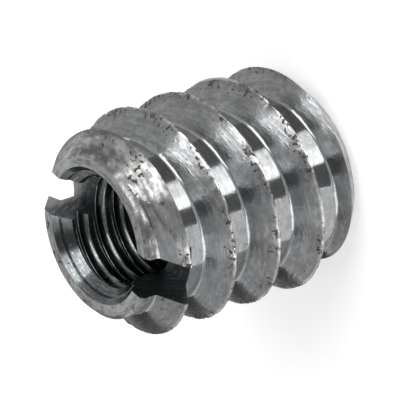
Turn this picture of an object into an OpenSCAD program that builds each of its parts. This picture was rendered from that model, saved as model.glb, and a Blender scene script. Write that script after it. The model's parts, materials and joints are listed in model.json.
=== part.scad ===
// Slotted threaded insert: a tapped steel sleeve with a coarse wood thread on its outside.
// It stands on its plain end at z = 0, with its axis on +Z and the screwdriver slot on top, along X.

/* [Outer thread] */
// Overall length, from the plain foot to the slotted end's face
length = 11.7; // [9:0.1:25]
// Diameter over the outer thread's crests
crest_d = 10.2; // [8.4:0.1:14]
// Height of the thread, from the core to its crests
thread_h = 1.225; // [0.9:0.025:1.5]
// Rise of the single right-hand thread in one turn
pitch = 2.5; // [2.05:0.05:5]
// Width of the flat along the crest
crest_w = 0.08; // [0.05:0.01:0.3]
// Slope of the flank that faces the slotted end, in degrees from a flat plane
upper_flank = 34; // [25:1:41]
// Slope of the flank that faces the foot, in degrees from a flat plane
lower_flank = 32; // [25:1:41]
// How far below the end face the crest passes over the slot's deeper end
crest_below_face = 1.63; // [1.2:0.01:3]

/* [Slotted head] */
// How far the end face's outer edge lies inside the core's diameter, all round
face_inset = 0.175; // [0:0.025:0.3]
// Slope of the chamfer that cuts the thread back at this end, in degrees from a flat plane
face_slope = 48; // [35:1:60]

/* [Screwdriver slot] */
// Width of the slot
slot_w = 2.1; // [1:0.1:3.5]
// Depth of the slot at the axis, below the end face
slot_depth = 2.2; // [1.2:0.1:4]
// Tilt of the slot's floor, in degrees, deeper towards +X
slot_tilt = 4; // [0:0.5:6]
// Distance of the slot's middle from the axis, towards +Y
slot_offset = 0.1; // [-0.3:0.05:0.3]

/* [Tapped bore] */
// Diameter at the crests of the inner thread
bore_d = 5.1; // [4:0.05:6.4]
// Angle of the chamfers at the bore's two mouths, across the cone
sink_angle = 90; // [60:5:120]
// Width of the chamfer at the slotted end
face_sink_w = 0.65; // [0.1:0.05:0.8]
// Width of the chamfer at the foot
foot_sink_w = 0.5; // [0.1:0.05:0.8]

/* [Foot] */
// How far the flat ring that the insert stands on lies inside the core's diameter, all round
foot_inset = 0.025; // [0:0.025:0.3]
// Slope of the lead-out chamfer round the foot, in degrees from a flat plane
foot_slope = 45; // [30:5:60]

/* [Hidden] */
$fn = 96;
STEPS = 48;                                   // thread segments in one turn
SPARE = 1;                                    // how far cutting shapes run past the metal
BITE = 0.25;                                  // how deep the thread's rib reaches into the core
WALL_SHARE = 0.6;                             // the most of a wall that a chamfer may take

root_d = crest_d - 2 * thread_h;              // core between the thread's turns
foot_d = root_d - 2 * foot_inset;             // flat ring at the foot
face_d = root_d - 2 * face_inset;             // outer edge of the end face
face_sink_d = sink_d(face_sink_w, face_d);    // inner edge of the end face
foot_sink_d = sink_d(foot_sink_w, foot_d);    // inner edge of the foot's ring

slot_crest_z = length - crest_below_face;     // the crest's lower edge over +X
rib_top = length + lower_flank_w(thread_h);   // the rib starts above the head, and is trimmed there
rib_bottom = -upper_flank_w(thread_h) - crest_w;

// Mouth diameter of a chamfer, which its wall limits.
function sink_d(width, outer_d) = bore_d + 2 * min(width, WALL_SHARE * (outer_d - bore_d) / 2);

// Axial widths of the two flanks for a given height.
function upper_flank_w(h) = h * tan(upper_flank);
function lower_flank_w(h) = h * tan(lower_flank);

// Height of the crest's lower edge at an angle, in degrees, counted on from turn to turn.
function crest_z(angle) = slot_crest_z + pitch * angle / 360;

// The rib's section at one angle: lower inner corner, crest's two edges, upper inner corner.
function rib_section(angle) =
    let (
        outer = crest_d / 2,
        inner = root_d / 2 - BITE,
        depth = outer - inner,
        z = crest_z(angle)
    )
    [for (p = [
        [inner, z - lower_flank_w(depth)],
        [outer, z],
        [outer, z + crest_w],
        [inner, z + crest_w + upper_flank_w(depth)]
    ]) [p[0] * cos(angle), p[0] * sin(angle), p[1]]];

// A helical rib with flat ends, as one closed polyhedron.
module thread_rib() {
    first = ceil((rib_bottom - slot_crest_z) / pitch * STEPS);
    last = ceil((rib_top - slot_crest_z) / pitch * STEPS);
    count = last - first;
    points = [for (i = [first : last]) each rib_section(i * 360 / STEPS)];
    sides = [for (i = [0 : count - 1], k = [0 : 3])
        let (a = 4 * i + k, b = 4 * i + (k + 1) % 4)
        each [[a, b + 4, a + 4], [a, b, b + 4]]];
    polyhedron(
        points = points,
        faces = concat([[2, 1, 0], [3, 2, 0]], sides,
            [[4 * count, 4 * count + 1, 4 * count + 2], [4 * count, 4 * count + 2, 4 * count + 3]])
    );
}

// Everything the lathe leaves: a flat ring and a chamfer at each end, and clear room for the thread between them.
module turned_envelope() {
    clear_r = crest_d / 2 + SPARE;
    rotate_extrude() polygon([
        [0, 0],
        [foot_d / 2, 0],
        [clear_r, (clear_r - foot_d / 2) * tan(foot_slope)],
        [clear_r, length - (clear_r - face_d / 2) * tan(face_slope)],
        [face_d / 2, length],
        [0, length]
    ]);
}

// A conical mouth: full size at its top, closing downwards to the bore's diameter.
module sink(mouth_d) {
    fall = (mouth_d - bore_d) / 2 / tan(sink_angle / 2);
    translate([0, 0, -fall]) cylinder(h = 2 * fall, d1 = bore_d, d2 = 2 * mouth_d - bore_d);
}

// Tapped bore at the diameter of its thread crests, with a chamfer at both mouths.
module bore() {
    translate([0, 0, -SPARE]) cylinder(h = length + 2 * SPARE, d = bore_d);
    translate([0, 0, length]) sink(face_sink_d);
    mirror([0, 0, 1]) sink(foot_sink_d);
}

// One straight cut across the head, with its floor tilted about Y.
module slot() {
    translate([0, slot_offset, length - slot_depth])
        rotate([0, slot_tilt, 0])
            translate([-crest_d, -slot_w / 2, 0])
                cube([2 * crest_d, slot_w, 2 * slot_depth + SPARE]);
}

module insert() {
    color([0.62, 0.62, 0.6]) difference() {
        intersection() {
            union() {
                cylinder(h = length, d = root_d);
                thread_rib();
            }
            turned_envelope();
        }
        bore();
        slot();
    }
}

insert();
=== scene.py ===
"""Looks of a slotted threaded insert: a tapped steel sleeve with a coarse wood thread on its outside.

The insert stands on its plain foot, with its axis on +Z and its screwdriver slot on top, along X. Lengths are
in metres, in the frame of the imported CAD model. The one piece made here stands for the CAD node of the same
shape, and adds what the CAD leaves out: the tapped thread's turns, fillets, torn crests and each surface's
finish. The studio round it has a floor, two soft lamps, and cards that show only in the steel's reflections.
"""

import sys
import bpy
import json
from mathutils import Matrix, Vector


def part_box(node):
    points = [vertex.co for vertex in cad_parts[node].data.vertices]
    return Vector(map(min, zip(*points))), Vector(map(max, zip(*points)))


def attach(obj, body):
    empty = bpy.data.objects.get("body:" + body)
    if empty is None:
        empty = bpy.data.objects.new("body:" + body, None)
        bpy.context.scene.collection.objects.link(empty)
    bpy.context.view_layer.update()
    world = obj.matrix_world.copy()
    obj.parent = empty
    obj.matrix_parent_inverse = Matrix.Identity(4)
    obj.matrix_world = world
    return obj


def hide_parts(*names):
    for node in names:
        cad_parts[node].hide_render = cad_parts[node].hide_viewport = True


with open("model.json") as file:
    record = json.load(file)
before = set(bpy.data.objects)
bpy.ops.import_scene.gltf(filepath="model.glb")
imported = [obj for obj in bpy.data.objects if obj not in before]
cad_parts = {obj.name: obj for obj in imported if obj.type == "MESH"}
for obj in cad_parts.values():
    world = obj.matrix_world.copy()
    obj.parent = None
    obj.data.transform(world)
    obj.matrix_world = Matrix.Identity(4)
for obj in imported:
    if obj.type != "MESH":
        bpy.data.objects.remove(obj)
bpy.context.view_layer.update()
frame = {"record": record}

import json
import logging
import math
from dataclasses import dataclass
from enum import Enum
from typing import NamedTuple

import bmesh
import bpy
import numpy as np
from mathutils import Matrix, Vector

Socket = bpy.types.NodeSocket

MM = 0.001
SPARE = 1 * MM  # how far cutting tools run past the metal
SLIVER = 0.0002 * MM  # shorter edges are closed up after the cuts
FLAT = 0.85  # the normals of the flat rings have at least this much along Z
WHITE = (1, 1, 1, 1)
QUARTER_TURN = 0.25  # turns the steel's stretched reflections from across the marks to along them
NODE = "insert"
BODY = "root"

log = logging.getLogger("threaded_insert")


class Finish(Enum):
    """The named finishes of the insert, and of the floor it stands on."""

    FLANK = "turned_flank"
    CHAMFER = "worn_chamfer"
    ROOT = "burnished_root"
    FACE = "end_face"
    TAPPED = "tapped_thread"
    SLOT = "slot_cut"
    FLOOR = "studio_floor"


class Tone(Enum):
    """Linear colours that the steel finishes share."""

    LIGHT_MARK = (0.8, 0.8, 0.8, 1)
    DARK_MARK = (0.12, 0.12, 0.12, 1)
    DULL = (0.24, 0.233, 0.222, 1)
    # worn crest edge with a painted glint along it
    WORN_EDGE_AND_GLINT = (0.76, 0.76, 0.76, 1)
    # painted light on the slot's walls
    PAINTED_WALL_LIGHT = (0.5, 0.5, 0.5, 1)
    PIT = (0.07, 0.069, 0.067, 1)


class Cut(Enum):
    """What a tool does to a body: keeps what lies inside the tool, or takes it away."""

    KEEP = "INTERSECT"
    TAKE = "DIFFERENCE"


# ----------------------------------------------------------------------------------------------- meshes


def softened_path(corners: np.ndarray, cuts: np.ndarray, arc: int, line: int) -> np.ndarray:
    """A path through corner points, with each inner corner replaced by a tangent curve.

    A corner's curve is the quadratic blend (1 - t)^2 A + 2 t (1 - t) C + t^2 B of its two tangent points A and
    B, which lie `cut` away from the corner C along its two sides. Straight stretches between curves are divided
    evenly.

    Args:
        corners: (n, 2) corner points, ends included.
        cuts: (n,) distances from each corner to its tangent points, 0 at both ends.
        arc: steps in each corner's curve.
        line: steps in each straight stretch.

    Returns:
        (m, 2) points along the path.
    """
    step = np.diff(corners, axis=0)
    unit = step / np.linalg.norm(step, axis=1, keepdims=True)
    leave = corners[:-1] + unit * cuts[:-1, None]
    arrive = corners[1:] - unit * cuts[1:, None]
    s = np.arange(line)[None, :, None] / line
    lines = leave[:, None] * (1 - s) + arrive[:, None] * s
    t = np.arange(arc)[None, :, None] / arc
    a, c, b = arrive[:-1, None], corners[1:-1, None], leave[1:, None]
    arcs = (1 - t) ** 2 * a + 2 * t * (1 - t) * c + t**2 * b
    joined = np.concatenate([lines[:-1], arcs], axis=1).reshape(-1, 2)
    return np.vstack([joined, lines[-1], corners[-1:]])


@dataclass(frozen=True)
class Ripple:
    """A smooth random curve round the axis, spread about 0 with a standard deviation of about 1.

    It is the sum of cos(rate * angle + phase) over `waves` random phases and random rates, which lie between
    `fewest` and `most` waves in one turn, times the square root of 2 / waves.
    """

    seed: int
    fewest: float
    most: float
    waves: int = 40

    def at(self, angle: np.ndarray) -> np.ndarray:
        """The curve's values at some angles.

        Args:
            angle: angles in radians, of any shape.

        Returns:
            Values of the same shape as angle.
        """
        rng = np.random.default_rng(self.seed)
        rate = rng.uniform(self.fewest, self.most, self.waves)
        phase = rng.uniform(0, 2 * np.pi, self.waves)
        return np.cos(angle[..., None] * rate + phase).sum(-1) * math.sqrt(2 / self.waves)


def piece_from(name: str, points: np.ndarray, quads: np.ndarray, triangles: np.ndarray) -> bpy.types.Object:
    """A mesh object from arrays, at the origin, unturned and unscaled.

    Args:
        name: the object's name.
        points: (n, 3) vertices in metres.
        quads: (m, 4) vertex indices.
        triangles: (k, 3) vertex indices.

    Returns:
        The new object, linked to the scene.
    """
    mesh = bpy.data.meshes.new(name)
    corners = np.concatenate([quads.ravel(), triangles.ravel()]).astype(np.int32)
    sizes = np.concatenate([np.full(len(quads), 4), np.full(len(triangles), 3)])
    starts = np.concatenate([[0], np.cumsum(sizes)[:-1]]).astype(np.int32)
    mesh.vertices.add(len(points))
    mesh.vertices.foreach_set("co", points.astype(np.float32).ravel())
    mesh.loops.add(len(corners))
    mesh.loops.foreach_set("vertex_index", corners)
    mesh.polygons.add(len(sizes))
    mesh.polygons.foreach_set("loop_start", starts)
    mesh.update(calc_edges=True)
    mesh.validate()
    piece = bpy.data.objects.new(name, mesh)
    bpy.context.scene.collection.objects.link(piece)
    return piece


@dataclass(frozen=True)
class HelicalSolid:
    """A solid whose side is one profile carried along a right-hand helix, closed by a fan at each end.

    Point (i, j) of the side is at angle a_i = i * 2 pi / steps and on profile point (h_j, r_j), so it stands at
    (r_j cos a_i, r_j sin a_i, z0 + pitch a_i / 2 pi + h_j). The profile's ends are one pitch apart with the
    same radius, so the last column of one turn is the first column of the next.
    """

    name: str
    profile: np.ndarray
    pitch: float
    z0: float
    first_turn: int
    turns: int
    steps: int

    def grid(self) -> tuple[np.ndarray, np.ndarray, np.ndarray]:
        """The side's points before wear.

        Returns:
            Angles, heights above the helix and radii, each (rows, columns).
        """
        rows = np.arange(self.turns * self.steps + 1) + self.first_turn * self.steps
        angle = rows[:, None] * (2 * np.pi / self.steps) + 0 * self.profile[None, :, 0]
        return angle, self.profile[None, :, 0] + 0 * angle, self.profile[None, :, 1] + 0 * angle

    def worn(self, angle: np.ndarray, h: np.ndarray, r: np.ndarray) -> tuple[np.ndarray, np.ndarray]:
        """The heights and radii after wear; a plain helical solid has none."""
        return h, r

    def build(self) -> bpy.types.Object:
        """Builds the closed mesh.

        Returns:
            The new object.
        """
        angle, h, r = self.grid()
        h, r = self.worn(angle, h, r)
        z = self.z0 + self.pitch * angle / (2 * np.pi) + h
        points = np.stack([r * np.cos(angle), r * np.sin(angle), z], axis=-1)
        rows, columns = angle.shape
        own = columns - 1
        last = rows - self.steps
        index = np.full((rows, columns), -1)
        index[:, :own] = np.arange(rows * own).reshape(rows, own)
        index[:last, own] = index[self.steps :, 0]
        index[last:, own] = rows * own + np.arange(self.steps)
        poles = [[0, 0, z.min() - self.pitch], [0, 0, z.max() + self.pitch]]
        flat = np.vstack([points[:, :own].reshape(-1, 3), points[last:, own], poles])
        quads = np.stack([index[:-1, :-1], index[1:, :-1], index[1:, 1:], index[:-1, 1:]], axis=-1)
        start = np.concatenate([index[: self.steps, 0], index[0, :0:-1]])
        end = np.concatenate([index[last:, own], index[-1, own - 1 :: -1]])
        foot = np.stack([np.roll(start, -1), start, np.full(len(start), len(flat) - 2)], axis=-1)
        top = np.stack([end, np.roll(end, -1), np.full(len(end), len(flat) - 1)], axis=-1)
        return piece_from(self.name, flat, quads.reshape(-1, 4), np.vstack([foot, top]))


def turned_solid(name: str, profile: np.ndarray, steps: int) -> bpy.types.Object:
    """A closed solid of revolution.

    Point (i, j) is at (r_j cos a_i, r_j sin a_i, z_j) with a_i = i * 2 pi / steps. The profile starts and ends
    on the axis, where one pole point closes the ring.

    Args:
        name: the object's name.
        profile: (n, 2) points (r, z), from the axis below to the axis above.
        steps: divisions round the axis.

    Returns:
        The new object.
    """
    a = np.arange(steps)[:, None] * (2 * np.pi / steps)
    r, z = profile[None, 1:-1, 0], profile[None, 1:-1, 1]
    ring = np.stack([r * np.cos(a), r * np.sin(a), z + 0 * a], axis=-1)
    columns = ring.shape[1]
    index = np.arange(steps * columns).reshape(steps, columns)
    after = np.roll(index, -1, axis=0)
    quads = np.stack([index[:, :-1], after[:, :-1], after[:, 1:], index[:, 1:]], axis=-1)
    low, high = steps * columns, steps * columns + 1
    foot = np.stack([after[:, 0], index[:, 0], np.full(steps, low)], axis=-1)
    top = np.stack([index[:, -1], after[:, -1], np.full(steps, high)], axis=-1)
    points = np.vstack([ring.reshape(-1, 3), [[0, 0, profile[0, 1]], [0, 0, profile[-1, 1]]]])
    return piece_from(name, points, quads.reshape(-1, 4), np.vstack([foot, top]))


def ruled_box(name: str, low: Vector, high: Vector, turn: Matrix) -> bpy.types.Object:
    """A closed box between two corners, put in place by a matrix.

    Args:
        name: the object's name.
        low: lowest corner before the turn.
        high: highest corner before the turn.
        turn: where the box goes.

    Returns:
        The new object, with its place in its mesh.
    """
    unit = np.array([[x, y, z] for x in (0, 1) for y in (0, 1) for z in (0, 1)], float)
    points = np.array(low) + unit * (np.array(high) - np.array(low))
    quads = np.array([[0, 1, 3, 2], [4, 6, 7, 5], [0, 4, 5, 1], [2, 3, 7, 6], [0, 2, 6, 4], [1, 5, 7, 3]])
    box = piece_from(name, points, quads, np.zeros((0, 3), int))
    box.data.transform(turn)
    return box


def face_vectors(piece: bpy.types.Object, kind: str) -> np.ndarray:
    """A vector of each face of a piece.

    Args:
        piece: the object whose faces are read.
        kind: "center" or "normal".

    Returns:
        (n, 3) vectors.
    """
    values = np.zeros(len(piece.data.polygons) * 3)
    piece.data.polygons.foreach_get(kind, values)
    return values.reshape(-1, 3)


def paint(piece: bpy.types.Object, *finishes: Finish, choice: np.ndarray | None = None) -> None:
    """Gives a piece its finishes.

    Args:
        piece: the object to paint.
        finishes: the finishes on it; every face has the first unless `choice` says otherwise.
        choice: (n,) number of each face's finish, counted from 0.
    """
    for finish in finishes:
        piece.data.materials.append(FINISHES[finish])
    if choice is not None:
        piece.data.polygons.foreach_set("material_index", choice.astype(np.int32))


def shaped(body: bpy.types.Object, tool: bpy.types.Object, cut: Cut) -> None:
    """Adds a boolean step to a body; the tool is removed by `settled`."""
    step = body.modifiers.new(tool.name, "BOOLEAN")
    step.object, step.operation, step.solver, step.material_mode = tool, cut.value, "MANIFOLD", "TRANSFER"


def settled(body: bpy.types.Object, smooth_below: float) -> None:
    """Applies a body's boolean steps, removes their tools and slivers, and shades the result.

    Args:
        body: the object whose modifiers are applied.
        smooth_below: faces that meet at less than this angle, in radians, are shaded as one surface.
    """
    tools = [step.object for step in body.modifiers]
    bpy.context.view_layer.update()
    made = bpy.data.meshes.new_from_object(body.evaluated_get(bpy.context.evaluated_depsgraph_get()))
    body.modifiers.clear()
    old, body.data = body.data, made
    made.name = body.name
    for tool in tools:
        bpy.data.meshes.remove(tool.data)
    bpy.data.meshes.remove(old)
    cleaned = bmesh.new()
    cleaned.from_mesh(made)
    bmesh.ops.dissolve_degenerate(cleaned, edges=cleaned.edges, dist=SLIVER)
    bmesh.ops.triangulate(cleaned, faces=cleaned.faces)
    cleaned.to_mesh(made)
    cleaned.free()
    made.shade_smooth()
    made.set_sharp_from_angle(angle=smooth_below)


# ----------------------------------------------------------------------------------------------- the insert


@dataclass(frozen=True)
class WoodThread(HelicalSolid):
    """The core and its coarse outer thread, with torn crests.

    Wear reaches `torn_share` of the thread's height below the crest. `chips` bite where they rise above
    `chip_level`, `dents` are shallower by `dent_share`, and `sway` leans the crest up and down.
    """

    crest_radius: float
    height: float
    tear: float = 0.03 * MM
    torn_share: float = 0.16
    chips: Ripple = Ripple(seed=3, fewest=20, most=110)
    chip_level: float = 0.6
    dents: Ripple = Ripple(seed=5, fewest=4, most=18)
    dent_share: float = 0.35
    sway: Ripple = Ripple(seed=11, fewest=6, most=60)
    sway_share: float = 0.5

    def worn(self, angle: np.ndarray, h: np.ndarray, r: np.ndarray) -> tuple[np.ndarray, np.ndarray]:
        """Tears the crests: a point near one drops by two ripples' positive parts and leans by a third ripple.

        Args:
            angle: the points' angles.
            h: their heights above the helix.
            r: their radii.

        Returns:
            The heights and radii after wear.
        """
        near = np.clip(1 - (self.crest_radius - r) / (self.torn_share * self.height), 0, 1) ** 2
        chipped = np.clip(self.chips.at(angle) - self.chip_level, 0, None)
        dented = self.dent_share * np.clip(self.dents.at(angle), 0, None)
        lean = near * self.sway.at(angle) * self.sway_share * self.tear
        return h + lean, r - near * (chipped + dented) * self.tear


@dataclass(frozen=True)
class InsertBody:
    """The whole insert: what is turned, threaded, tapped and slotted, as one piece.

    Slopes are measured from a flat plane. A fillet or rounding is the distance from a corner to the point where
    its curve starts. Steps are divisions round the axis. `flank_share` of the thread's height, from the crest
    down, has the flanks' finish. The rest has the roots', which are worn over `worn_root_run` at the slotted
    end. Each mouth has a nick cut in it at `sink_ring` below its end. A crest of the inner thread passes the
    height `inner_crest_at` at the angle `inner_crest_angle`.
    """

    length: float
    crest_radius: float
    bore_radius: float

    thread_height: float = 1.225 * MM
    pitch: float = 2.5 * MM
    crest_width: float = 0.08 * MM
    upper_slope: float = math.radians(34)
    lower_slope: float = math.radians(32)
    crest_below_face: float = 1.63 * MM
    crest_rounding: float = 0.03 * MM
    upper_fillet: float = 0.13 * MM
    lower_fillet: float = 0.05 * MM
    outer_steps: int = 240

    flank_share: float = 0.96
    worn_root_run: float = 0.6 * MM

    face_radius: float = 3.7 * MM
    face_mouth_radius: float = 3.2 * MM
    face_slope: float = math.radians(48)
    face_rounding: float = 0.05 * MM
    foot_radius: float = 3.85 * MM
    foot_mouth_radius: float = 3.05 * MM
    foot_rounding: float = 0.015 * MM

    sink_ring: float = 0.28 * MM
    sink_nick: float = 0.045 * MM
    sink_steps: int = 192

    slot_width: float = 2.1 * MM
    slot_depth: float = 2.2 * MM
    slot_tilt: float = math.radians(4)
    slot_offset: float = 0.1 * MM
    saw_reach: float = 8 * MM

    inner_pitch: float = 1.0 * MM
    inner_root_radius: float = 2.95 * MM
    inner_flank: float = math.radians(30)
    inner_root_share: float = 1 / 8
    inner_crest_rounding: float = 0.13 * MM
    inner_root_rounding: float = 0.05 * MM
    inner_crest_at: float = 10.577 * MM
    inner_crest_angle: float = math.radians(45.2)
    inner_steps: int = 96

    smooth_below: float = math.radians(32)

    def outer_profile(self) -> np.ndarray:
        """Profile of the outer thread over one pitch, from the middle of one root to the middle of the next.

        A flank's width along the axis is the thread's height times the tangent of its slope, and the root takes
        what the crest and the two flanks leave of the pitch.

        Returns:
            (n, 2) points (height above the crest's lower edge, radius).
        """
        up = self.thread_height * math.tan(self.upper_slope)
        down = self.thread_height * math.tan(self.lower_slope)
        half = (self.pitch - up - down - self.crest_width) / 2
        top, root = self.crest_radius, self.crest_radius - self.thread_height
        corners = np.array([
            [-down - half, root],
            [-down, root],
            [0, top],
            [self.crest_width, top],
            [self.crest_width + up, root],
            [self.crest_width + up + half, root],
        ])
        cuts = np.array([0, self.lower_fillet, self.crest_rounding, self.crest_rounding, self.upper_fillet, 0])
        return softened_path(corners, cuts, arc=6, line=4)

    def inner_profile(self) -> np.ndarray:
        """Profile of the inner thread over one pitch, as the surface of the tap.

        A flank's width along the axis is the thread's height times the tangent of half the angle between two
        flanks, and the crest takes what the root and the two flanks leave of the pitch.

        Returns:
            (n, 2) points (height above the middle of a crest, radius).
        """
        top, deep = self.bore_radius, self.inner_root_radius
        flank = (deep - top) * math.tan(self.inner_flank)
        root = self.inner_pitch * self.inner_root_share
        crest = self.inner_pitch - 2 * flank - root
        corners = np.array([
            [0, top],
            [crest / 2, top],
            [crest / 2 + flank, deep],
            [crest / 2 + flank + root, deep],
            [crest / 2 + 2 * flank + root, top],
            [self.inner_pitch, top],
        ])
        at_top, at_root = self.inner_crest_rounding, self.inner_root_rounding
        return softened_path(corners, np.array([0, at_top, at_root, at_root, at_top, 0]), arc=5, line=2)

    def threaded_core(self) -> bpy.types.Object:
        """The core with its outer thread, longer than the insert at both ends.

        Returns:
            The closed solid, with its finishes.
        """
        core = WoodThread(
            name=NODE + "_body",
            profile=self.outer_profile(),
            pitch=self.pitch,
            z0=self.length - self.crest_below_face,
            first_turn=-6,
            turns=7,
            steps=self.outer_steps,
            crest_radius=self.crest_radius,
            height=self.thread_height,
        ).build()
        centre = face_vectors(core, "center")
        radius = np.hypot(centre[:, 0], centre[:, 1])
        root = radius < self.crest_radius - self.flank_share * self.thread_height
        worn = centre[:, 2] > self.length - self.worn_root_run
        paint(core, Finish.FLANK, Finish.ROOT, Finish.CHAMFER, choice=root * (1 + worn))
        return core

    def lathe_envelope(self) -> bpy.types.Object:
        """Everything the lathe leaves: a flat ring and a chamfer, which cuts through the thread, at each end.

        Returns:
            The closed solid of revolution, with one finish on the rings and another on the chamfers.
        """
        clear = self.crest_radius + SPARE
        corners = np.array([
            [0, 0],
            [self.foot_radius, 0],
            [clear, clear - self.foot_radius],
            [clear, self.length - (clear - self.face_radius) * math.tan(self.face_slope)],
            [self.face_radius, self.length],
            [0, self.length],
        ])
        cuts = np.array([0, self.foot_rounding, 0, 0, self.face_rounding, 0])
        envelope = turned_solid("envelope", softened_path(corners, cuts, arc=3, line=6), self.outer_steps)
        sloped = np.abs(face_vectors(envelope, "normal")[:, 2]) < FLAT
        paint(envelope, Finish.FACE, Finish.CHAMFER, choice=sloped)
        return envelope

    def tap(self) -> bpy.types.Object:
        """The tapped hole, longer than the insert at both ends.

        Returns:
            The closed tool, with its finish.
        """
        tool = HelicalSolid(
            name="tap",
            profile=self.inner_profile(),
            pitch=self.inner_pitch,
            z0=self.inner_crest_at - self.inner_pitch * self.inner_crest_angle / (2 * np.pi),
            first_turn=-13,
            turns=16,
            steps=self.inner_steps,
        ).build()
        paint(tool, Finish.TAPPED)
        return tool

    def sink(self, name: str, mouth: float, z: float, outwards: float) -> bpy.types.Object:
        """A conical mouth of the bore, with a thin ring cut in it.

        Args:
            name: the tool's name.
            mouth: its radius at the insert's end.
            z: height of that end.
            outwards: 1 at the top end and -1 at the foot.

        Returns:
            The tool: a double cone with its widest ring outside the insert.
        """
        ring, nick = np.array([mouth - self.sink_ring, -self.sink_ring]), self.sink_nick
        profile = np.array([
            [0, -mouth],
            ring - nick,
            ring + [nick, -nick],
            ring + nick,
            [mouth + SPARE, SPARE],
            [0, 3 * SPARE],
        ])
        profile = profile * [1, outwards] + [0, z]
        tool = turned_solid(name, profile if outwards > 0 else profile[::-1], self.sink_steps)
        paint(tool, Finish.TAPPED)
        return tool

    def slotting_saw(self) -> bpy.types.Object:
        """The slot: a straight cut across the head, with its floor tilted towards +X.

        Returns:
            The closed tool, with its finish.
        """
        turn = Matrix.Translation((0, self.slot_offset, self.length - self.slot_depth))
        turn = turn @ Matrix.Rotation(self.slot_tilt, 4, "Y")
        half, reach = self.slot_width / 2, self.saw_reach
        saw = ruled_box("slot", Vector((-reach, -half, 0)), Vector((reach, half, reach)), turn)
        paint(saw, Finish.SLOT)
        return saw

    def build(self) -> bpy.types.Object:
        """Builds the insert as one closed mesh.

        Returns:
            The finished piece.
        """
        body = self.threaded_core()
        shaped(body, self.lathe_envelope(), Cut.KEEP)
        shaped(body, self.tap(), Cut.TAKE)
        shaped(body, self.sink("mouth", self.face_mouth_radius, self.length, 1), Cut.TAKE)
        shaped(body, self.sink("foot_mouth", self.foot_mouth_radius, 0, -1), Cut.TAKE)
        shaped(body, self.slotting_saw(), Cut.TAKE)
        settled(body, self.smooth_below)
        return body


# ----------------------------------------------------------------------------------------------- finishes

FINISHES: dict[Finish, bpy.types.Material] = {}


class Nodes:
    """Short ways to add and join nodes in one node tree."""

    def __init__(self, tree: bpy.types.NodeTree) -> None:
        """Works on the given tree, which it empties."""
        self.tree = tree
        tree.nodes.clear()

    def feed(self, socket: Socket, value: object) -> None:
        """Gives an input its value.

        Args:
            socket: the input.
            value: a socket to link to it, a value to set, or None to leave it as it is.
        """
        if isinstance(value, Socket):
            self.tree.links.new(value, socket)
        elif value is not None:
            socket.default_value = value

    def add(self, kind: str, *inputs: object, **settings: object) -> bpy.types.Node:
        """Adds a node.

        Args:
            kind: the node's type, without its ShaderNode prefix.
            inputs: values or sockets for its inputs, in order.
            settings: its properties.

        Returns:
            The node.
        """
        node = self.tree.nodes.new("ShaderNode" + kind)
        for name, value in settings.items():
            setattr(node, name, value)
        for socket, value in zip(node.inputs, inputs, strict=False):
            self.feed(socket, value)
        return node

    def math(self, operation: str, *inputs: object) -> Socket:
        """The result of one sum."""
        return self.add("Math", *inputs, operation=operation).outputs[0]

    def less(self, mask: Socket, share: float) -> Socket:
        """What a mask leaves of 1 when it takes a share of it: 1 - share * mask."""
        return self.math("SUBTRACT", 1.0, self.math("MULTIPLY", mask, share))

    def noise(self, place: Socket, scale: float, detail: float, roughness: float, w: object = None) -> Socket:
        """Noise at a place, and at a fourth coordinate where there is one."""
        dimensions = "3D" if w is None else "4D"
        return self.add("TexNoise", place, w, scale, detail, roughness, noise_dimensions=dimensions).outputs[0]

    def step(
        self, value: Socket, start: object, end: object, to_start: float = 0.0, to_end: float = 1.0
    ) -> Socket:
        """A smooth step.

        Args:
            value: what it depends on.
            start: the value at which it starts.
            end: the value at which it ends, higher or lower.
            to_start: its result at the start, and on that side.
            to_end: its result at the end, and beyond.

        Returns:
            The result's socket.
        """
        node = self.add("MapRange", value, start, end, to_start, to_end, interpolation_type="SMOOTHSTEP")
        return node.outputs[0]

    def mix(self, share: Socket, first: object, second: object) -> Socket:
        """A colour between two colours.

        Args:
            share: the second colour's share.
            first: the first colour.
            second: the second colour.

        Returns:
            The mixed colour's socket.
        """
        node = self.add("Mix", data_type="RGBA")
        for place, value in ((0, share), (6, first), (7, second)):
            self.feed(node.inputs[place], value)
        return node.outputs[2]

    def output(self, shader: bpy.types.Node) -> None:
        """Adds the material's output, fed by a shader."""
        self.feed(self.tree.nodes.new("ShaderNodeOutputMaterial").inputs["Surface"], shader.outputs[0])


def new_material(name: str) -> tuple[bpy.types.Material, Nodes]:
    """A material with an empty node tree.

    Args:
        name: the material's name.

    Returns:
        The material and its nodes.
    """
    material = bpy.data.materials.new(name)
    material.use_nodes = True
    return material, Nodes(material.node_tree)


def new_group(
    name: str, inputs: dict[str, str], outputs: dict[str, str]
) -> tuple[bpy.types.NodeTree, Nodes, dict[str, Socket], dict[str, Socket]]:
    """An empty shader node group with named sockets.

    Args:
        name: the group's name.
        inputs: socket kinds by name, Vector or Float.
        outputs: socket kinds by name.

    Returns:
        The group, its nodes, its inputs' sockets and its outputs' sockets by name.
    """
    tree = bpy.data.node_groups.new(name, "ShaderNodeTree")
    for way, sockets in (("INPUT", inputs), ("OUTPUT", outputs)):
        for socket, kind in sockets.items():
            tree.interface.new_socket(socket, in_out=way, socket_type="NodeSocket" + kind)
    nodes = Nodes(tree)
    start, end = tree.nodes.new("NodeGroupInput"), tree.nodes.new("NodeGroupOutput")
    return tree, nodes, {n: start.outputs[n] for n in inputs}, {n: end.inputs[n] for n in outputs}


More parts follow.
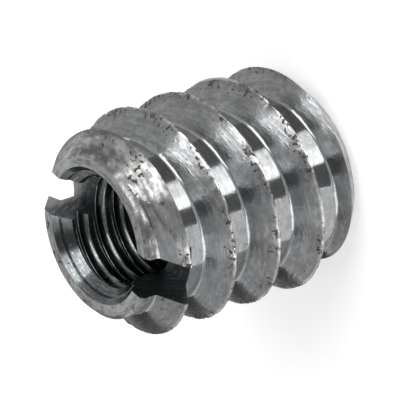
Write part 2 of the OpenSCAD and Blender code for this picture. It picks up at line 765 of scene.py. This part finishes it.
@dataclass(frozen=True)
class TurningMarks:
    """Marks that run round the axis: noise that changes fast across the tool's path and slowly along it.

    With r the distance from the axis, the noise is read at (x / r * around, y / r * around,
    (r + z * rise) * across), and at z * drift in its fourth dimension, so it has no seam and differs from turn
    to turn.
    """

    rise: float = 0.5
    detail: float = 3.0
    roughness: float = 0.6

    def build(self) -> bpy.types.NodeTree:
        """Makes the node group.

        Returns:
            The group, which puts out the marks, the distance from the axis and the height.
        """
        tree, nodes, inputs, outputs = new_group(
            "turning_marks",
            {"Place": "Vector", "Around": "Float", "Across": "Float", "Drift": "Float"},
            {"Marks": "Float", "Radius": "Float", "Height": "Float"},
        )
        x, y, z = nodes.add("SeparateXYZ", inputs["Place"]).outputs
        squares = nodes.math("ADD", nodes.math("MULTIPLY", x, x), nodes.math("MULTIPLY", y, y))
        radius = nodes.math("SQRT", squares)
        along = nodes.math("MULTIPLY", nodes.math("MULTIPLY_ADD", z, self.rise, radius), inputs["Across"])
        place = nodes.add(
            "CombineXYZ",
            nodes.math("MULTIPLY", nodes.math("DIVIDE", x, radius), inputs["Around"]),
            nodes.math("MULTIPLY", nodes.math("DIVIDE", y, radius), inputs["Around"]),
            along,
        ).outputs[0]
        drift = nodes.math("MULTIPLY", z, inputs["Drift"])
        nodes.feed(outputs["Marks"], nodes.noise(place, 1.0, self.detail, self.roughness, drift))
        nodes.feed(outputs["Radius"], radius)
        nodes.feed(outputs["Height"], z)
        return tree


@dataclass(frozen=True)
class Pits:
    """Ragged blotches: where noise rises above a level that falls from `bare` by `fall` as density rises to 1.

    Over `soft` above that level a blotch's edge fades in.
    """

    bare: float = 0.71
    fall: float = 0.22
    soft: float = 0.05
    detail: float = 3.0
    roughness: float = 0.55

    def build(self) -> bpy.types.NodeTree:
        """Makes the node group.

        Returns:
            The group, which puts out the blotches' mask.
        """
        tree, nodes, inputs, outputs = new_group(
            "pits", {"Place": "Vector", "Size": "Float", "Density": "Float"}, {"Pits": "Float"}
        )
        rate = nodes.math("DIVIDE", 1.0, inputs["Size"])
        scaled = nodes.add("VectorMath", inputs["Place"], None, None, rate, operation="SCALE").outputs[0]
        noise = nodes.noise(scaled, 1.0, self.detail, self.roughness)
        level = nodes.math("MULTIPLY_ADD", inputs["Density"], -self.fall, self.bare)
        nodes.feed(outputs["Pits"], nodes.step(noise, level, nodes.math("ADD", level, self.soft)))
        return tree


class Span(NamedTuple):
    """Where a smooth step starts and where it ends; it may run down as well as up."""

    start: float
    end: float

    def past(self, value: float) -> "Span":
        """The same span, counted from another value."""
        return Span(value + self.start, value + self.end)


@dataclass(frozen=True)
class Wear:
    """How steel wears, and where light is painted on it, which every finish shares.

    Bands and `polish_fades` are distances from the crest's radius, and head and wall are places along Z and X,
    in metres. Drifts and rates are per metre. Marks, patches and clouds are levels of noise, which is about 0.5
    on average. Shares are parts of 1.
    """

    crest_radius: float = 5.1 * MM
    pitted_band: Span = Span(-0.75 * MM, 0.0)
    edge_band: Span = Span(-0.11 * MM, -0.04 * MM)
    polish_fades: Span = Span(-1.1 * MM, -0.3 * MM)
    pitted_head: Span = Span(9.6 * MM, 10.6 * MM)
    painted_light_wall: Span = Span(-3.3 * MM, -3.8 * MM)

    coarse_drift: float = 900.0
    fine_drift: float = 2500.0
    fine_around: float = 4.0
    coarse_share: float = 0.5
    light_marks: Span = Span(0.48, 0.62)
    dark_marks: Span = Span(0.52, 0.4)
    edge_glint_marks: Span = Span(0.44, 0.54)
    painted_light_marks: Span = Span(0.4, 0.6)
    smooth_marks: Span = Span(0.35, 0.65)

    patch_rate: float = 650.0
    patches: Span = Span(0.38, 0.6)
    cloud_rate: float = 420.0
    clouds: Span = Span(0.38, 0.62)

    crest_share: float = 0.8
    head_share: float = 0.6
    plain_share: float = 0.1
    edge_clear: float = 0.25
    pit_size: float = 0.2 * MM
    pit_depth: float = 0.6
    pit_rust: float = 0.6
    pit_rough: float = 0.3
    crowded: Span = Span(0.1, 0.9)
    dull_share: float = 0.35
    edge_glint_share: float = 0.85
    painted_light_share: float = 0.6


class Masks(NamedTuple):
    """The masks of one steel finish, as sockets in its node tree."""

    place: Socket
    radius: Socket
    marks: Socket
    edge: Socket
    crowd: Socket
    pits: Socket


@dataclass(frozen=True)
class Steel:
    """Bright steel with turning marks, stains and pits, and painted light at the crest's edge and the slot's
    walls.

    Colours are linear, the relief is in metres, and the rate across the tool's path is per metre. `polish` is
    how much smoother the finish is deep between the thread's turns than near their crests, and
    `painted_wall_light` how far the slot's walls are painted lighter towards -X, as painted light.
    """

    colour: tuple[float, float, float]
    stain: tuple[float, float, float]
    roughness: float
    spread: float
    anisotropy: float
    around: float
    across: float
    relief: float
    pits: float
    contrast: float
    polish: float = 0.0
    painted_wall_light: float = 0.0
    wear: Wear = Wear()

    def masks(self, nodes: Nodes, groups: dict[str, bpy.types.NodeTree]) -> Masks:
        """Works out where the marks, the worn and glinting crest edge and the pits are.

        Args:
            nodes: the material's nodes.
            groups: the shared node groups by name.

        Returns:
            The masks.
        """
        wear, group = self.wear, groups["turning_marks"]
        place = nodes.add("TexCoord").outputs["Object"]
        coarse = nodes.add("Group", place, self.around, self.across, wear.coarse_drift, node_tree=group)
        around = self.around * wear.fine_around
        fine = nodes.add("Group", place, around, self.across, wear.fine_drift, node_tree=group)
        share = nodes.math("MULTIPLY", coarse.outputs["Marks"], wear.coarse_share)
        marks = nodes.math("MULTIPLY_ADD", fine.outputs["Marks"], 1 - wear.coarse_share, share)
        radius = coarse.outputs["Radius"]
        crest = nodes.step(radius, *wear.pitted_band.past(wear.crest_radius))
        edge = nodes.step(radius, *wear.edge_band.past(wear.crest_radius))
        head = nodes.step(coarse.outputs["Height"], *wear.pitted_head)
        patches = nodes.noise(place, wear.patch_rate, detail=2.0, roughness=0.5)
        near = nodes.math(
            "MAXIMUM",
            nodes.math("MULTIPLY", crest, wear.crest_share),
            nodes.math("MULTIPLY", head, wear.head_share),
        )
        patchy = nodes.step(patches, *wear.patches, 0.0, self.pits)
        crowd = nodes.math("MULTIPLY", nodes.math("ADD", near, wear.plain_share), patchy)
        crowd = nodes.math("MULTIPLY", crowd, nodes.less(edge, wear.edge_clear))
        pits = nodes.add("Group", place, wear.pit_size, crowd, node_tree=groups["pits"]).outputs["Pits"]
        return Masks(place, radius, marks, edge, crowd, pits)

    def coloured(self, nodes: Nodes, masks: Masks) -> Socket:
        """Mixes the steel's colour: stained, streaked, dulled among pits, with a painted glint at the worn
        crest.

        Args:
            nodes: the material's nodes.
            masks: where the marks, the worn and glinting crest edge and the pits are.

        Returns:
            The colour's socket.
        """
        wear, marks = self.wear, masks.marks
        clouds = nodes.step(nodes.noise(masks.place, wear.cloud_rate, detail=3.0, roughness=0.6), *wear.clouds)
        colour = nodes.mix(clouds, (*self.colour, 1), (*self.stain, 1))
        light = nodes.step(marks, *wear.light_marks, 0.0, self.contrast)
        colour = nodes.mix(light, colour, Tone.LIGHT_MARK.value)
        dark = nodes.step(marks, *wear.dark_marks, 0.0, self.contrast)
        colour = nodes.mix(dark, colour, Tone.DARK_MARK.value)
        dull = nodes.step(masks.crowd, *wear.crowded, 0.0, wear.dull_share)
        colour = nodes.mix(dull, colour, Tone.DULL.value)
        # The crest's edge is painted lighter, partly as worn metal and partly as a painted glint along the
        # crest.
        crest_glint = nodes.math("MULTIPLY", masks.edge, nodes.step(marks, *wear.edge_glint_marks, 0.0, wear.edge_glint_share))
        colour = nodes.mix(crest_glint, colour, Tone.WORN_EDGE_AND_GLINT.value)
        # Painted light: the slot's walls are painted lighter towards -X, in streaks, where light falls on them.
        if self.painted_wall_light:
            x = nodes.add("SeparateXYZ", masks.place).outputs[0]
            wall = nodes.step(x, *wear.painted_light_wall)
            painted_wall_light = nodes.step(marks, *wear.painted_light_marks, wear.painted_light_share, self.painted_wall_light)
            colour = nodes.mix(nodes.math("MULTIPLY", wall, painted_wall_light), colour, Tone.PAINTED_WALL_LIGHT.value)
        return nodes.mix(masks.pits, colour, Tone.PIT.value)

    def dress(self, finish: Finish, groups: dict[str, bpy.types.NodeTree]) -> None:
        """Makes the material and keeps it in FINISHES.

        Args:
            finish: the finish that this is.
            groups: the shared node groups by name.
        """
        material, nodes = new_material(finish.value)
        wear = self.wear
        masks = self.masks(nodes, groups)
        colour = self.coloured(nodes, masks)
        unpolished = nodes.step(masks.radius, *wear.polish_fades.past(wear.crest_radius), 1 - self.polish)
        rough, smooth = self.roughness + self.spread, self.roughness - self.spread
        roughness = nodes.step(masks.marks, *wear.smooth_marks, rough, smooth)
        roughness = nodes.math("MULTIPLY", roughness, unpolished)
        height = nodes.math(
            "SUBTRACT",
            nodes.math("MULTIPLY", masks.marks, unpolished),
            nodes.math("MULTIPLY", masks.pits, wear.pit_depth),
        )
        bump = nodes.add("Bump", 1.0, self.relief)
        nodes.feed(bump.inputs["Height"], height)
        shader = nodes.add("BsdfPrincipled")
        for name, value in {
            "Base Color": colour,
            "Metallic": nodes.less(masks.pits, wear.pit_rust),
            "Roughness": nodes.math("ADD", roughness, nodes.math("MULTIPLY", masks.pits, wear.pit_rough)),
            "Anisotropic": self.anisotropy,
            "Anisotropic Rotation": QUARTER_TURN,
            "Tangent": nodes.add("Tangent", direction_type="RADIAL", axis="Z").outputs[0],
            "Normal": bump.outputs[0],
        }.items():
            nodes.feed(shader.inputs[name], value)
        nodes.output(shader)
        FINISHES[finish] = material


STEELS: dict[Finish, Steel] = {
    Finish.FLANK: Steel(
        colour=(0.41, 0.422, 0.435),
        stain=(0.345, 0.35, 0.352),
        roughness=0.25,
        spread=0.08,
        anisotropy=0.7,
        around=3.5,
        across=9000,
        relief=0.03 * MM,
        pits=1.0,
        contrast=0.25,
        polish=0.42,
    ),
    Finish.CHAMFER: Steel(
        colour=(0.43, 0.438, 0.446),
        stain=(0.34, 0.337, 0.33),
        roughness=0.33,
        spread=0.1,
        anisotropy=0.6,
        around=2.5,
        across=9000,
        relief=0.022 * MM,
        pits=1.0,
        contrast=0.7,
    ),
    Finish.ROOT: Steel(
        colour=(0.49, 0.503, 0.515),
        stain=(0.44, 0.45, 0.455),
        roughness=0.14,
        spread=0.05,
        anisotropy=0.4,
        around=5.0,
        across=9000,
        relief=0.004 * MM,
        pits=0.3,
        contrast=0.2,
    ),
    Finish.FACE: Steel(
        colour=(0.6, 0.612, 0.625),
        stain=(0.47, 0.47, 0.465),
        roughness=0.32,
        spread=0.1,
        anisotropy=0.5,
        around=3.0,
        across=8000,
        relief=0.012 * MM,
        pits=1.0,
        contrast=0.5,
    ),
    Finish.TAPPED: Steel(
        # Painted shade: the tapped steel's colour is darker than the outer steel's, for the shade inside the
        # bore and its mouths.
        colour=(0.19, 0.208, 0.212),
        stain=(0.135, 0.15, 0.153),
        roughness=0.18,
        spread=0.07,
        anisotropy=0.4,
        around=4.0,
        across=9000,
        relief=0.004 * MM,
        pits=0.3,
        contrast=0.25,
    ),
    Finish.SLOT: Steel(
        # Painted shade: the slot's colour is far darker than the outer steel's, for the shade inside the slot.
        colour=(0.115, 0.133, 0.14),
        stain=(0.08, 0.09, 0.094),
        roughness=0.36,
        spread=0.1,
        anisotropy=0.0,
        around=4.0,
        across=6000,
        relief=0.008 * MM,
        pits=0.3,
        contrast=0.2,
        painted_wall_light=1.0,
    ),
}


@dataclass(frozen=True)
class FloorPaint:
    """White paint, lit by the lamps, with a share of its own white in view and in reflections."""

    white: float = 0.88
    roughness: float = 0.7
    glow: float = 0.42

    def dress(self) -> None:
        """Makes the material and keeps it in FINISHES."""
        material, nodes = new_material(Finish.FLOOR.value)
        path = nodes.add("LightPath")
        seen = nodes.math("ADD", path.outputs["Is Camera Ray"], path.outputs["Is Glossy Ray"])
        seen = nodes.math("MINIMUM", nodes.math("ADD", seen, path.outputs["Is Transmission Ray"]), 1.0)
        shader = nodes.add("BsdfPrincipled", (self.white, self.white, self.white, 1), None, self.roughness)
        shader.inputs["Specular IOR Level"].default_value = 0
        shader.inputs["Emission Color"].default_value = WHITE
        nodes.feed(shader.inputs["Emission Strength"], nodes.math("MULTIPLY", seen, self.glow))
        nodes.output(shader)
        FINISHES[Finish.FLOOR] = material


def make_finishes() -> None:
    """Makes each finish once, with the node groups that the steels share."""
    groups = {"turning_marks": TurningMarks().build(), "pits": Pits().build()}
    for finish, steel in STEELS.items():
        steel.dress(finish, groups)
    FloorPaint().dress()


# ----------------------------------------------------------------------------------------------- studio


@dataclass(frozen=True)
class Softbox:
    """A soft lamp that faces the insert; where it stands and how wide it looks from there are in degrees."""

    name: str
    azimuth: float
    elevation: float
    wide: float
    tall: float
    level: float
    far: float = 0.6

    def build(self) -> None:
        """Adds the lamp; its power is pi * area * level, so that its face has that level of brightness."""
        a, e = math.radians(self.azimuth), math.radians(self.elevation)
        way = Vector((math.cos(a) * math.cos(e), math.sin(a) * math.cos(e), math.sin(e)))
        size = [2 * self.far * math.tan(math.radians(angle) / 2) for angle in (self.wide, self.tall)]
        data = bpy.data.lights.new(self.name, "AREA")
        data.shape, data.size, data.size_y = "RECTANGLE", size[0], size[1]
        data.energy = math.pi * size[0] * size[1] * self.level
        lamp = bpy.data.objects.new(self.name, data)
        lamp.location = way * self.far
        lamp.rotation_euler = way.to_track_quat("Z", "Y").to_euler()
        bpy.context.scene.collection.objects.link(lamp)


@dataclass(frozen=True)
class Card:
    """A glowing card beside the insert that shows only in reflections.

    It spans from its near edge to its far edge as they turn about the axis between two angles, in degrees. Each
    edge has a radius and a height. A card lies on the floor unless its edges say otherwise.
    """

    name: str
    start: float
    end: float
    level: float
    near: tuple[float, float] = (5.3 * MM, 0.02 * MM)
    far: tuple[float, float] = (150 * MM, 0.02 * MM)
    steps: int = 16

    def build(self) -> None:
        """Adds the card: point (i, j) is at (r_j cos a_i, r_j sin a_i, z_j), with j its near or far edge."""
        a = np.radians(np.linspace(self.start, self.end, self.steps + 1))[:, None]
        r, z = np.array([self.near, self.far]).T
        points = np.stack([r * np.cos(a), r * np.sin(a), z + 0 * a], axis=-1).reshape(-1, 3)
        quads = np.arange(self.steps)[:, None] * 2 + np.array([[0, 1, 3, 2]])
        card = piece_from(self.name, points, quads, np.zeros((0, 3), int))
        material, nodes = new_material(self.name)
        nodes.output(nodes.add("Emission", WHITE, self.level))
        card.data.materials.append(material)
        card.visible_camera = card.visible_diffuse = card.visible_shadow = False


# Each card's name, the angles between which it spans, and its level, where 1 is white.
CARDS: tuple[Card, ...] = (
    Card("white_card", 43, 58, 2.2),
    Card("pale_card", 58, 75, 1.6),
    Card("dark_card_high", 77, 118, 0.14),
    Card("grey_card_high", 118, 158, 0.42),
    Card("dark_card_low", 20, 42, 0.13),
    Card("grey_card_near", -30, 19, 0.82),
    Card("grey_card_far", -175, -32, 0.35),
    Card("dark_wall", 222, 262, 0.08, near=(60 * MM, 0), far=(60 * MM, 21 * MM)),
    Card("pale_wall", 263, 298, 0.85, near=(60 * MM, 0), far=(60 * MM, 17 * MM)),
    Card("dark_hood", 10, 64, 0.12, near=(60 * MM, 72 * MM), far=(34 * MM, 92 * MM)),
)
LAMPS: tuple[Softbox, ...] = (
    Softbox("key", azimuth=94, elevation=46, wide=36, tall=52, level=2.3),
    Softbox("side", azimuth=340, elevation=28, wide=34, tall=46, level=1.3),
)


@dataclass(frozen=True)
class Studio:
    """Floor, cards, lamps, world and camera."""

    azimuth: float = math.radians(45.2)
    elevation: float = math.radians(33.47)
    roll: float = math.radians(-108.52)
    distance: float = 0.4217
    aim: tuple[float, float, float] = (1.485 * MM, 1.53 * MM, 7.164 * MM)
    lens: float = 852.5
    sensor: float = 36
    clip: tuple[float, float] = (0.01, 20)
    floor_reach: float = 3.0
    floor_depth: float = 0.01
    world: float = 0.5

    def eye_axes(self) -> tuple[Vector, Vector, Vector]:
        """The camera's directions before its roll.

        Returns:
            Its right, up and back.
        """
        c, s = math.cos(self.azimuth), math.sin(self.azimuth)
        right = Vector((-s, c, 0))
        back = Vector((c * math.cos(self.elevation), s * math.cos(self.elevation), math.sin(self.elevation)))
        return right, back.cross(right), back

    def camera(self) -> None:
        """The camera, looking at `aim` and rolled so that the insert lies over on its side in the frame."""
        right, up, back = self.eye_axes()
        c, s = math.cos(self.roll), math.sin(self.roll)
        turned = Matrix((right * c + up * s, up * c - right * s, back)).transposed()
        data = bpy.data.cameras.new("camera")
        data.lens, data.sensor_width = self.lens, self.sensor
        data.clip_start, data.clip_end = self.clip
        eye = bpy.data.objects.new("camera", data)
        eye.matrix_world = Matrix.Translation(Vector(self.aim) + back * self.distance) @ turned.to_4x4()
        bpy.context.scene.collection.objects.link(eye)
        bpy.context.scene.camera = eye

    def floor(self) -> None:
        """The floor: a wide slab with its top at the insert's foot."""
        side = self.floor_reach
        low, high = Vector((-side, -side, -self.floor_depth)), Vector((side, side, 0))
        floor = ruled_box("floor", low, high, Matrix.Identity(4))
        paint(floor, Finish.FLOOR)

    def build(self) -> None:
        """Sets the whole studio."""
        self.camera()
        self.floor()
        for item in (*CARDS, *LAMPS):
            item.build()
        world = bpy.data.worlds.new("studio")
        world.use_nodes = True
        world.node_tree.nodes["Background"].inputs["Color"].default_value = WHITE
        world.node_tree.nodes["Background"].inputs["Strength"].default_value = self.world
        bpy.context.scene.world = world
        bpy.context.scene.view_settings.view_transform = "Standard"


def main() -> None:
    """Builds the insert and its studio, and reports the piece."""
    logging.basicConfig(level=logging.INFO, format="%(message)s", stream=sys.stdout, force=True)
    low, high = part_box(NODE)
    bore = next(mount for mount in frame["record"]["mounts"] if mount["name"] == "bore")
    make_finishes()
    insert = InsertBody(
        length=high.z - low.z,
        crest_radius=(high.x - low.x) / 2,
        bore_radius=bore["dims"]["r_mm"] * MM,
    ).build()
    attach(insert, BODY)
    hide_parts(NODE)
    insert.data.calc_loop_triangles()
    log.info("%s: %d triangles", insert.name, len(insert.data.loop_triangles))
    Studio().build()


if __name__ == "__main__":
    main()
